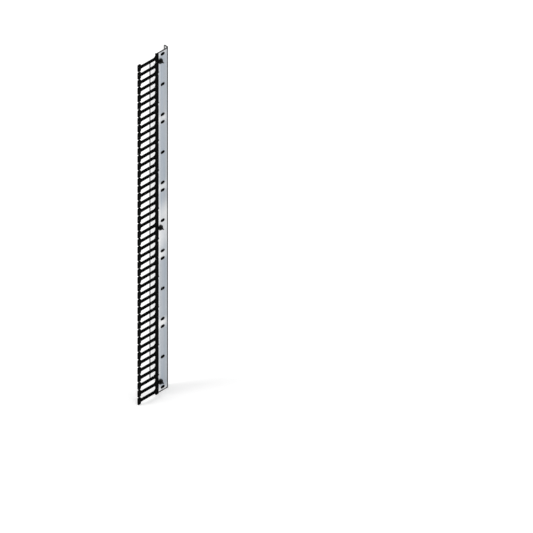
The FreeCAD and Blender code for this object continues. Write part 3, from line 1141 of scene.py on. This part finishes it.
@dataclass
class Combs:
    """The five moulded combs, each a spine with nine T-headed fingers."""

    datum: Datum
    finishes: Finishes
    joint_gap: float = 0.6 * MM
    spine_reach: float = 9.5 * MM
    spine_step: float = 5 * MM
    spine_corner: float = 3 * MM
    end_corner: float = 1 * MM
    end_root_radius: float = 11 * MM
    root_inset: float = 10 * MM
    root_radius: float = 14 * MM
    finger_drop: float = 1.5 * MM
    finger_reach: float = 131 * MM
    finger_height: float = 15.5 * MM
    finger_thickness: float = 6.5 * MM
    head_height: float = 39 * MM
    head_width: float = 19.5 * MM
    head_corner: float = 4 * MM
    head_inner: float = 4 * MM
    neck: float = 3 * MM
    groove_width: float = 5 * MM
    groove_depth: float = 2.5 * MM
    groove_margin: float = 8 * MM
    lip_thickness: float = 3 * MM
    lip_depth: float = 7 * MM
    lip_root: float = 1 * MM
    lip_clearance: float = 0.3 * MM
    tie_hole: tuple[float, float] = (3.6 * MM, 9 * MM)
    tie_hole_inset: float = 1.8 * MM
    tie_hole_drop: float = 7.4 * MM
    pry_notch: tuple[float, float] = (2.5 * MM, 11 * MM)
    pry_notch_drop: float = 12.6 * MM
    lug_radius: float = 4.8 * MM
    ejector_radius: float = 1.6 * MM
    ejector_depth: float = 0.2 * MM
    ejector_backs: tuple[float, float] = (-36 * MM, -92 * MM)
    edge: float = 0.45 * MM
    past: float = 2 * MM

    def build(self) -> list[bpy.types.Object]:
        """Build one comb, copy it down the rail, and dress them all.

        Returns:
            The finished pieces, from the top down.
        """
        first = self._plate() + self._lip_and_lugs()
        first = (first.flattened() - self._hollows()).flattened().softened(self.edge, edge_slot=1)
        pitch = COMB_UNITS * self.datum.unit
        solids = [first] + [first.copy(Vector((0, 0, pitch * (1 - number)))) for number in COMBS[1:]]
        looks = [self.finishes.comb, self.finishes.comb_edge]
        return [
            solid.piece(f"comb_{number}_moulding", ROOT_BODY, "black_moulding", f"comb_{number}", looks)
            for number, solid in zip(COMBS, solids)
        ]

    @property
    def _ends(self) -> Point:
        """Lowest and highest Z of the first comb's spine."""
        half_gap = self.joint_gap / 2
        return self.datum.top_z - COMB_UNITS * self.datum.unit + half_gap, self.datum.top_z - half_gap

    def _finger_z(self, cell: int) -> float:
        """Height of the middle line of one of the first comb's fingers."""
        return self.datum.cell_z(1, cell) - self.finger_drop

    def _finger(self, cell: int) -> list[Corner]:
        """Corners of one finger, from its root above to its root below.

        Args:
            cell: Number of the finger in its comb.

        Returns:
            The corners, in order down the comb.
        """
        y, z = self.datum.y, self._finger_z(cell)
        neck_y = y(-self.finger_reach + self.head_width)
        half, half_head = self.finger_height / 2, self.head_height / 2
        upper = [
            Corner(y(-self.root_inset), z + half, self.root_radius),
            Corner(neck_y, z + half, self.neck),
            Corner(neck_y, z + half_head, self.head_inner),
            Corner(y(-self.finger_reach), z + half_head, self.head_corner),
        ]
        lower = [Corner(corner.a, 2 * z - corner.b, corner.radius) for corner in reversed(upper)]
        if cell == COMB_UNITS:
            lower[-1] = replace(lower[-1], radius=self.end_root_radius)
        return upper + lower

    def _plate(self) -> Solid:
        """Spine and fingers as one plate.

        Returns:
            The solid.
        """
        low, high = self._ends
        x, y = self.datum.x, self.datum.y
        corners = [Corner(y(-self.root_inset), high, self.end_corner)]
        for cell in CELLS:
            corners += self._finger(cell)
        corners += [
            Corner(y(-self.root_inset), low, self.end_corner),
            Corner(y(self.spine_reach), low, self.spine_corner),
            Corner(y(self.spine_reach), high, self.spine_corner),
        ]
        return Solid.prisms([(rounded_outline(corners), x(0), x(self.finger_thickness))])

    def _lip_and_lugs(self) -> Solid:
        """The lip that hooks over the rail's front edge, and the round ears for the rivets.

        Returns:
            The solid.
        """
        low, high = self._ends
        x, y = self.datum.x, self.datum.y
        lip = rectangle(y(-self.lip_clearance - self.lip_thickness), y(-self.lip_clearance), low, high)
        parts = [(lip, x(-self.lip_depth), x(self.lip_root))]
        for cell in RIVET_CELLS:
            ear = disc_outline(self.datum.rivet_y, self.datum.cell_z(1, cell), self.lug_radius, steps=48)
            parts.append((ear, x(0), x(self.datum.spine_thickness)))
        return Solid.prisms(parts)

    def _hollows(self) -> Solid:
        """The step along the spine, grooves, tie holes, notches, rivet holes and ejector marks.

        Returns:
            The cutting solid.
        """
        low, high = self._ends
        x, y, past = self.datum.x, self.datum.y, self.past
        outside = x(self.finger_thickness + past)
        step = rectangle(y(-self.spine_step), y(self.spine_reach + 3 * past), low - past, high + past)
        parts = [(step, x(self.datum.spine_thickness), outside)]
        far = y(-self.finger_reach + self.head_width + self.groove_margin)
        near = y(-self.root_inset - self.groove_margin)
        for cell in CELLS:
            z = self._finger_z(cell)
            groove = slot_outline((far + near) / 2, z, near - far, self.groove_width)
            parts.append((groove, x(self.finger_thickness - self.groove_depth), outside))
            parts += self._spine_hollows(cell, self.datum.cell_z(1, cell))
            for mark in self.ejector_backs:
                disc = disc_outline(y(mark), z, self.ejector_radius, steps=24)
                parts.append((disc, x(-past), x(self.ejector_depth)))
        return Solid.prisms(parts)

    def _spine_hollows(self, cell: int, z: float) -> list[Prism]:
        """Openings in the spine beside one finger.

        Args:
            cell: Number of the finger in its comb.
            z: Height of the middle of its rack unit.

        Returns:
            Outlines with their lowest and highest X.
        """
        y = self.datum.y
        if cell in RIVET_CELLS:
            depth, height = self.pry_notch
            middle, end = z - self.pry_notch_drop, y(self.spine_reach)
            outlines = [
                rectangle(end - depth, end + self.past, middle - height / 2, middle + height / 2),
                disc_outline(self.datum.rivet_y, z, self.datum.rivet_hole),
            ]
        else:
            width, height = self.tie_hole
            middle, start = z - self.tie_hole_drop, y(self.tie_hole_inset)
            outlines = [rectangle(start, start + width, middle - height / 2, middle + height / 2)]
        low, high = self.datum.x(-self.past), self.datum.x(self.datum.spine_thickness + self.past)
        return [(outline, low, high) for outline in outlines]


@dataclass
class SlotLiners:
    """The soft black liners pressed into the rail's slots, whose black fills the slots as painted shade."""

    datum: Datum
    finishes: Finishes
    clearance: float = 0.1 * MM
    wall: float = 1.6 * MM
    lip: float = 2 * MM
    lip_thickness: float = 1.5 * MM
    lip_round: float = 0.72 * MM
    depth: float = 8 * MM
    lead: tuple[float, float] = (0.8 * MM, 0.5 * MM)
    bead: float = 0.7 * MM
    bead_gap: float = 0.25 * MM
    bead_length: float = 2.4 * MM

    def build(self) -> list[bpy.types.Object]:
        """Build the liners of each comb's stretch of rail.

        Returns:
            The finished pieces, from the top down.
        """
        pieces = []
        for comb in COMBS:
            solid, *others = [self._liner(self.datum.cell_z(comb, cell)) for cell in SLOT_CELLS]
            for other in others:
                solid.together(other)
            name, node = f"slot_liners_{comb}_rubber", f"slot_liners_{comb}"
            pieces.append(solid.piece(name, ROOT_BODY, "black_liner", node, [self.finishes.liner]))
        return pieces

    def _liner(self, z: float) -> Solid:
        """One liner: a rounded lip on the face, a sleeve through the sheet and a bead behind it.

        Args:
            z: Height of its slot's middle.

        Returns:
            The solid.
        """
        d, x = self.datum, self.datum.x
        outer = d.slot_height / 2 - self.clearance
        inner = outer - self.wall
        lip_edge = d.slot_height / 2 + self.lip
        back = -d.sheet - self.bead_gap
        crown = x(self.lip_thickness - self.lip_round)
        profile = [
            (x(-self.depth), inner),
            (x(-self.depth), outer - self.lead[1]),
            (x(-self.depth + self.lead[0]), outer),
            (x(back - self.bead_length), outer),
            (x(back - self.bead), outer + self.bead),
            (x(back), outer),
            (x(0), outer),
            (x(0), lip_edge),
        ]
        profile += arc_profile(crown, lip_edge - self.lip_round, self.lip_round, 90, -90)
        profile += arc_profile(crown, inner + self.lip_round, self.lip_round, 0, -90)
        half_run = (d.slot_length - d.slot_height) / 2
        return Solid.turned(profile, d.slot_y, z, steps=56, half_run=half_run)


@dataclass
class PushRivets:
    """The push rivets that hold each comb: a slit body and the pin driven into it."""

    datum: Datum
    finishes: Finishes
    head_radius: float = 4.2 * MM
    head_height: float = 1.8 * MM
    head_crown: float = 1.0 * MM
    shank_radius: float = 3.2 * MM
    bore_radius: float = 1.6 * MM
    barb_radius: float = 3.7 * MM
    barb_edge: tuple[float, float] = (0.3 * MM, 0.15 * MM)
    barb_gap: float = 0.3 * MM
    barb_length: float = 3.6 * MM
    tail: float = 3 * MM
    tail_radius: float = 2.7 * MM
    tail_edge: tuple[float, float] = (0.4 * MM, 0.3 * MM)
    slit: float = 0.8 * MM
    slit_roots: tuple[float, float] = (0.05 * MM, 1 * MM)
    pin_head_radius: float = 2.8 * MM
    pin_head_height: float = 0.9 * MM
    pin_clearance: float = 0.05 * MM
    pin_point: float = 1.0 * MM
    pin_rim: float = 0.25 * MM
    dimple: tuple[Point, ...] = ((0, 1.3 * MM), (0.35 * MM, 0.7 * MM), (0.4 * MM, 0))
    past: float = 1 * MM

    def build(self) -> list[bpy.types.Object]:
        """Build the rivets of each comb.

        Returns:
            The finished pieces, bodies and pins in turn.
        """
        pieces = []
        for comb in COMBS:
            upper, lower = [self.datum.cell_z(comb, cell) for cell in RIVET_CELLS]
            for part, maker in (("bodies", self._body), ("pins", self._pin)):
                solid = maker(upper).together(maker(lower))
                name, node = f"rivet_{part}_{comb}_nylon", f"rivet_{part}_{comb}"
                pieces.append(solid.piece(name, ROOT_BODY, "black_rivet", node, [self.finishes.rivet]))
        return pieces

    @property
    def _back(self) -> float:
        """Where the barbs start, measured across from the rail's face."""
        return -self.datum.sheet - self.barb_gap

    @property
    def _tip(self) -> float:
        """Where the rivet ends behind the sheet, measured across from the rail's face."""
        return self._back - self.barb_length - self.tail

    def _body(self, z: float) -> Solid:
        """One rivet body, its head domed over the spine and its barbs slit behind the sheet.

        Args:
            z: Height of its axis.

        Returns:
            The solid.
        """
        x, y = self.datum.x, self.datum.rivet_y
        face, back, tip = self.datum.spine_thickness, self._back, self._tip
        head = face + self.head_height
        seat = head - self.pin_head_height
        seat_radius = self.pin_head_radius + self.pin_clearance
        profile = [
            (x(tip), self.bore_radius),
            (x(tip), self.tail_radius - self.tail_edge[1]),
            (x(tip + self.tail_edge[0]), self.tail_radius),
            (x(tip + self.tail), self.tail_radius),
            (x(back - self.barb_edge[0]), self.barb_radius),
            (x(back), self.barb_radius - self.barb_edge[1]),
            (x(back), self.shank_radius),
            (x(face), self.shank_radius),
            (x(face), self.head_radius),
            (x(head - self.head_crown), self.head_radius),
        ]
        crown = self.head_crown
        profile += arc_profile(x(head - crown), self.head_radius - crown, crown, 72, -72)
        profile += [(x(head), seat_radius), (x(seat), seat_radius), (x(seat), self.bore_radius)]
        body = Solid.turned(profile, y, z, steps=40)
        half, reach, end = self.slit / 2, self.barb_radius + self.past, x(tip - self.past)
        level = rectangle(y - reach, y + reach, z - half, z + half)
        upright = rectangle(y - half, y + half, z - reach, z + reach)
        cross = Solid.prisms([(level, end, x(back - self.slit_roots[0]))])
        return body - (cross + Solid.prisms([(upright, end, x(back - self.slit_roots[1]))]))

    def _pin(self, z: float) -> Solid:
        """One pin, with a shallow dimple in its head.

        Args:
            z: Height of its axis.

        Returns:
            The solid.
        """
        x, tip = self.datum.x, self._tip
        head = self.datum.spine_thickness + self.head_height
        seat = head - self.pin_head_height
        radius, rim = self.bore_radius - self.pin_clearance, self.pin_rim
        profile = [
            (x(tip), 0),
            (x(tip), radius - self.pin_point / 2),
            (x(tip + self.pin_point), radius),
            (x(seat), radius),
            (x(seat), self.pin_head_radius),
        ]
        profile += arc_profile(x(head - rim), self.pin_head_radius - rim, rim, 90, -90, steps=3)
        profile += [(x(head - depth), r) for depth, r in self.dimple]
        return Solid.turned(profile, self.datum.rivet_y, z, steps=32)


@dataclass
class Fastening:
    """One mounting point: spacer, screw, retaining washer and plain washer."""

    place: Place
    datum: Datum
    finishes: Finishes
    base_height: float = 7 * MM
    base_rim: float = 1.6 * MM
    base_edge: float = 0.4 * MM
    neck_radius: float = 7.4 * MM
    neck_fillet: float = 0.9 * MM
    tip_radius: float = 7.1 * MM
    tip_rim: float = 0.5 * MM
    bore_radius: float = 3.3 * MM
    spigot_radius: float = 5.1 * MM
    recess_radius: float = 4.9 * MM
    recess_depth: float = 1.8 * MM
    chamfer: float = 0.3 * MM
    washer_rim: float = 0.35 * MM
    washer_edge: float = 0.1 * MM
    retainer_round: float = 0.4
    screw_radius: float = 3 * MM
    screw_clearance: float = 0.02 * MM
    groove_radius: float = 2.6 * MM
    groove_run_out: float = 0.3 * MM
    shank_overlap: float = 0.5 * MM
    thread_root: float = 2.5 * MM
    thread_pitch: float = 1 * MM
    thread_lead: float = 0.9 * MM
    thread_point: float = 0.45 * MM
    thread_start: float = 0.4
    ridge_slope: float = 1.7
    ridge_foot: float = 0.3
    thread_steps: int = 36
    turn_steps: int = 10
    head_height: float = 3.6 * MM
    head_crown: float = 0.7 * MM
    head_edge: float = 0.4 * MM
    head_shoulder: Point = (0.1 * MM, 0.25 * MM)
    socket_flats: float = 4 * MM
    socket_depth: float = 2.2 * MM
    socket_past: float = 1 * MM
    lead_outside: Point = (0.6 * MM, 0.75 * MM)
    lead_inside: Point = (0.5 * MM, 0.35 * MM)
    knurl_count: int = 36
    knurl_depth: float = 0.16 * MM

    def build(self) -> list[bpy.types.Object]:
        """Build and dress the four pieces.

        Returns:
            The finished pieces.
        """
        looks, turning = self.finishes, self.place.body
        return [
            self._finished(self._spacer(), "spacer", ROOT_BODY, "black_spacer", looks.spacer),
            self._finished(self._plain_washer(), "plain_washer", ROOT_BODY, "zinc_fastener", looks.washer),
            self._finished(self._screw(), "mounting_screw", turning, "black_screw", looks.screw),
            self._finished(self._retainer(), "retaining_washer", turning, "retaining_nylon", looks.retainer),
        ]

    def _finished(self, solid: Solid, part: str, body: str, slot: str, finish: Finish) -> bpy.types.Object:
        """Name one piece after its node and dress it."""
        node = self.place.node(part)
        return solid.piece(f"{node}_finished", body, slot, node, [finish])

    def _turned(self, profile: Sequence[Point], steps: int) -> Solid:
        """Turn a profile about the screw's axis."""
        return Solid.turned(profile, *self.place.axis, steps)

    def _spans(self, part: str) -> Triple:
        """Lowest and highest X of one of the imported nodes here, and its radius."""
        low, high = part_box(self.place.node(part))
        return low.x, high.x, (high.y - low.y) / 2

    def _spacer(self) -> Solid:
        """Spacer with a broad rounded base, a filleted neck and the recess for the retaining washer.

        Returns:
            The solid.
        """
        low, high, radius = self._spans("spacer")
        face = self.datum.face_x
        top = face + self.base_height
        floor = high - self.recess_depth
        rim, fillet, tip = self.base_rim, self.neck_fillet, self.tip_rim
        profile = [
            (low, self.bore_radius),
            (low, self.spigot_radius - self.chamfer),
            (low + self.chamfer, self.spigot_radius),
            (face, self.spigot_radius),
            (face, radius - self.base_edge),
            (face + self.base_edge, radius),
        ]
        profile += arc_profile(top - rim, radius - rim, rim, 90, -90, steps=6)
        profile += arc_profile(top + fillet, self.neck_radius + fillet, fillet, 180, 90)
        profile += arc_profile(high - tip, self.tip_radius - tip, tip, 90, -90)
        profile += [
            (high, self.recess_radius + self.chamfer),
            (high - self.chamfer, self.recess_radius),
            (floor, self.recess_radius),
            (floor, self.bore_radius),
        ]
        return self._turned(profile, steps=72)

    def _plain_washer(self) -> Solid:
        """Stamped washer, rounded on its punched side.

        Returns:
            The solid.
        """
        low, high, radius = self._spans("plain_washer")
        rim, edge = self.washer_rim, self.washer_edge
        profile = [(high, self.bore_radius), (low + rim, self.bore_radius), (low, self.bore_radius + rim)]
        profile += arc_profile(low + rim, radius - rim, rim, 180, -90)
        profile += [(high - edge, radius), (high, radius - edge)]
        return self._turned(profile, steps=56)

    def _retainer(self) -> Solid:
        """Thin retaining washer with rounded rims.

        Returns:
            The solid.
        """
        low, high, radius = self._spans("retaining_washer")
        rim = (high - low) * self.retainer_round
        inner = self.groove_radius + self.screw_clearance
        profile = [(high, inner + rim), (high - rim, inner), (low + rim, inner), (low, inner + rim)]
        profile += arc_profile(low + rim, radius - rim, rim, 180, -90, steps=3)
        profile += arc_profile(high - rim, radius - rim, rim, 90, -90, steps=3)
        return self._turned(profile, steps=48)

    def _screw(self) -> Solid:
        """Socket-head screw with a knurled head and a real thread on its free end.

        Returns:
            The solid.
        """
        low, tip, radius = self._spans("mounting_screw")
        groove_start, groove_end, _ = self._spans("retaining_washer")
        seat = low + self.head_height
        root, neck = seat - self.shank_overlap, groove_end + self.groove_run_out
        shank_radius = self.screw_radius - self.screw_clearance
        shank = self._turned([
            (root, 0),
            (root, shank_radius),
            (groove_start, shank_radius),
            (groove_start, self.groove_radius),
            (neck, self.groove_radius),
            (neck, 0),
        ], steps=40)
        return (self._head(low, seat, radius) + shank) + self._thread(groove_end, tip)

    def _head(self, low: float, seat: float, radius: float) -> Solid:
        """The knurled head with its hexagon socket.

        Args:
            low: X of the head's outer face.
            seat: X of the face that it bears on.
            radius: The head's radius.

        Returns:
            The solid.
        """
        y, z = self.place.axis
        crown, edge = self.head_crown, self.head_edge
        knurl_start, knurl_end = low + crown + self.chamfer, seat - edge
        profile = [(low, 0), (low, radius - crown)]
        profile += arc_profile(low + crown, radius - crown, crown, 150, -60, steps=3)
        profile += [
            (knurl_start, radius),
            (knurl_end, radius),
            (seat - self.head_shoulder[0], radius - self.head_shoulder[1]),
            (seat, radius - edge),
            (seat, 0),
        ]
        head = self._turned(profile, steps=self.knurl_count * 4)
        for vertex in head.object.data.vertices:
            if knurl_start - 10 * WELD <= vertex.co.x <= knurl_end + 10 * WELD:
                side = Vector((0, vertex.co.y - y, vertex.co.z - z))
                valley = 0.5 - 0.5 * math.cos(math.atan2(side.z, side.y) * self.knurl_count)
                vertex.co -= side.normalized() * self.knurl_depth * valley
        corner = self.socket_flats / math.sqrt(3)
        hexagon = disc_outline(y, z, corner, steps=6)
        socket = Solid.prisms([(hexagon, low - self.socket_past, low + self.socket_depth)])
        lead_start, lead_end = low - self.lead_outside[0], low + self.lead_inside[0]
        lead = self._turned([
            (lead_start, 0),
            (lead_start, corner + self.lead_outside[1]),
            (lead_end, corner - self.lead_inside[1]),
            (lead_end, 0),
        ], steps=48)
        return head - (socket + lead)

    def _thread(self, start: float, tip: float) -> Solid:
        """The threaded end, as a ridge that climbs round the shank.

        Args:
            start: X where the thread begins.
            tip: X of the screw's end.

        Returns:
            The solid.
        """
        y, z = self.place.axis
        shape = bmesh.new()
        count = round((tip - start) / self.thread_pitch * self.turn_steps)
        rings = []
        for index in range(count + 1):
            x = start + (tip - start) * index / count
            behind, ahead = (x - start) / self.thread_lead, (tip - x) / self.thread_lead
            limit = min(1.0, ahead) * min(1.0, self.thread_start + behind)
            point = self.thread_point * max(0.0, 1 - ahead)
            ring = []
            for step in range(self.thread_steps):
                share = step / self.thread_steps
                phase = ((x - start) / self.thread_pitch - share) % 1.0
                ridge = self.ridge_slope * (1 - abs(2 * phase - 1)) - self.ridge_foot
                ridge = min(1.0, max(0.0, ridge))
                r = self.thread_root + (self.screw_radius - self.thread_root) * ridge * limit - point
                angle = math.tau * share
                ring.append(shape.verts.new((x, y + r * math.cos(angle), z + r * math.sin(angle))))
            rings.append(ring)
        for first, second in zip(rings, rings[1:]):
            for step in range(self.thread_steps):
                shape.faces.new([first[step - 1], first[step], second[step], second[step - 1]])
        shape.faces.new(rings[0])
        shape.faces.new(rings[-1])
        return Solid(shape)


def seen_directly(graph: Graph) -> Wire:
    """Mask of what the camera sees, straight or in metal or glass.

    Args:
        graph: Node tree that the nodes go into.

    Returns:
        A mask of 0 or 1.
    """
    camera = graph.node("ShaderNodeLightPath", output="Is Camera Ray")
    outputs = camera.socket.node.outputs
    glossy, through = Wire(graph, outputs["Is Glossy Ray"]), Wire(graph, outputs["Is Transmission Ray"])
    return camera.larger(glossy).larger(through)


@dataclass(frozen=True)
class StudioFloor(Finish):
    """Pale floor that shows white to the camera and keeps the object's soft shadow."""

    albedo: float = 0.78
    lift: float = 0.30

    def surface(self, graph: Graph) -> dict[str, Linkable]:
        """The floor's own colour, with no shine."""
        return {"Base Color": grey(self.albedo), "Roughness": 0.9, "Specular IOR Level": 0.0}

    def shader(self, graph: Graph) -> Wire:
        """Add light for what looks at the floor from above, and let what looks from below through.

        Args:
            graph: Node tree that the nodes go into.

        Returns:
            The mixed shader.
        """
        glow = graph.node("ShaderNodeEmission", {}, {"Strength": seen_directly(graph) * self.lift})
        lit = graph.node("ShaderNodeAddShader", {}, {0: super().shader(graph), 1: glow})
        under = graph.node("ShaderNodeNewGeometry", output="Backfacing")
        clear = graph.node("ShaderNodeBsdfTransparent")
        return graph.node("ShaderNodeMixShader", {}, {0: under, 1: lit, 2: clear})


@dataclass(frozen=True)
class Lamp:
    """One soft distant lamp, with its direction from the object and its spread in degrees."""

    name: str
    towards: Triple
    strength: float
    spread: float

    def hang(self) -> None:
        """Put the lamp into the scene."""
        data = bpy.data.lights.new(self.name, "SUN")
        data.energy = self.strength
        data.angle = math.radians(self.spread)
        lamp = bpy.data.objects.new(self.name, data)
        bpy.context.scene.collection.objects.link(lamp)
        lamp.rotation_mode = "QUATERNION"
        lamp.rotation_quaternion = Vector(self.towards).to_track_quat("Z", "Y")


@dataclass
class Studio:
    """Floor, backdrop light, lamps and the camera."""

    azimuth: float = 45.0
    elevation: float = math.degrees(math.atan(1 / math.sqrt(2)))
    picture: float = 533.0
    pixels_per_metre: float = 208.52
    origin_pixel: Point = (162.35, 228.67)
    distance: float = 9.0
    farthest: float = 100.0
    floor_size: float = 30.0
    floor_gap: float = 0.5 * MM
    world_strength: float = 0.62
    lamps: tuple[Lamp, ...] = (
        Lamp("key", (-0.55, -1.0, 0.55), 1.9, 28.0),
        Lamp("fill", (1.0, -0.35, 0.45), 0.75, 40.0),
        Lamp("rim", (0.4, 1.0, 0.6), 0.6, 40.0),
    )

    def build(self) -> None:
        """Set up the whole studio."""
        self._floor()
        self._world()
        for lamp in self.lamps:
            lamp.hang()
        self._camera()
        bpy.context.scene.view_settings.view_transform = "Standard"
        LOG.info("studio: %d lamps", len(self.lamps))

    def _floor(self) -> None:
        """Lay the floor just under the object."""
        half = self.floor_size / 2
        level = CAD_BOX[0].z - self.floor_gap
        mesh = bpy.data.meshes.new("floor")
        mesh.from_pydata([(a, b, level) for a, b in rectangle(-half, half, -half, half)], [], [(0, 1, 2, 3)])
        floor = bpy.data.objects.new("floor", mesh)
        bpy.context.scene.collection.objects.link(floor)
        mesh.materials.append(StudioFloor("studio_floor").material())

    def _world(self) -> None:
        """Make the surroundings: plain white to look at, softer as a light."""
        world = bpy.data.worlds.new("studio_surroundings")
        bpy.context.scene.world = world
        world.use_nodes = True
        world.node_tree.nodes.clear()
        graph = Graph(world.node_tree)
        seen = seen_directly(graph)
        strength = seen + (1 - seen) * self.world_strength
        light = graph.node("ShaderNodeBackground", {}, {"Color": grey(1.0), "Strength": strength})
        graph.node("ShaderNodeOutputWorld", {}, {"Surface": light})

    def _camera(self) -> None:
        """Aim the camera as the picture was drawn: level axes 120 degrees apart, with no perspective."""
        data = bpy.data.cameras.new("camera")
        data.type = "ORTHO"
        data.ortho_scale = self.picture / self.pixels_per_metre
        data.clip_end = self.farthest
        camera = bpy.data.objects.new("camera", data)
        bpy.context.scene.collection.objects.link(camera)
        turn, tilt = math.radians(self.azimuth), math.radians(self.elevation)
        back = Vector((math.sin(turn) * math.cos(tilt), -math.cos(turn) * math.cos(tilt), math.sin(tilt)))
        camera.rotation_mode = "QUATERNION"
        camera.rotation_quaternion = back.to_track_quat("Z", "Y")
        right = camera.rotation_quaternion @ Vector((1, 0, 0))
        up = camera.rotation_quaternion @ Vector((0, 1, 0))
        middle = self.picture / 2
        aside = (middle - self.origin_pixel[0]) / self.pixels_per_metre
        below = (self.origin_pixel[1] - middle) / self.pixels_per_metre
        camera.location = right * aside + up * below + back * self.distance
        bpy.context.scene.camera = camera


def main() -> None:
    """Build every piece in order."""
    logging.basicConfig(level=logging.INFO, format="%(name)s: %(message)s")
    datum = Datum.from_frame()
    finishes = Finishes(datum)
    Studio().build()
    Rail(datum, finishes).build()
    Combs(datum, finishes).build()
    SlotLiners(datum, finishes).build()
    PushRivets(datum, finishes).build()
    for place in Place:
        Fastening(place, datum, finishes).build()


if __name__ == "__main__":
    main()
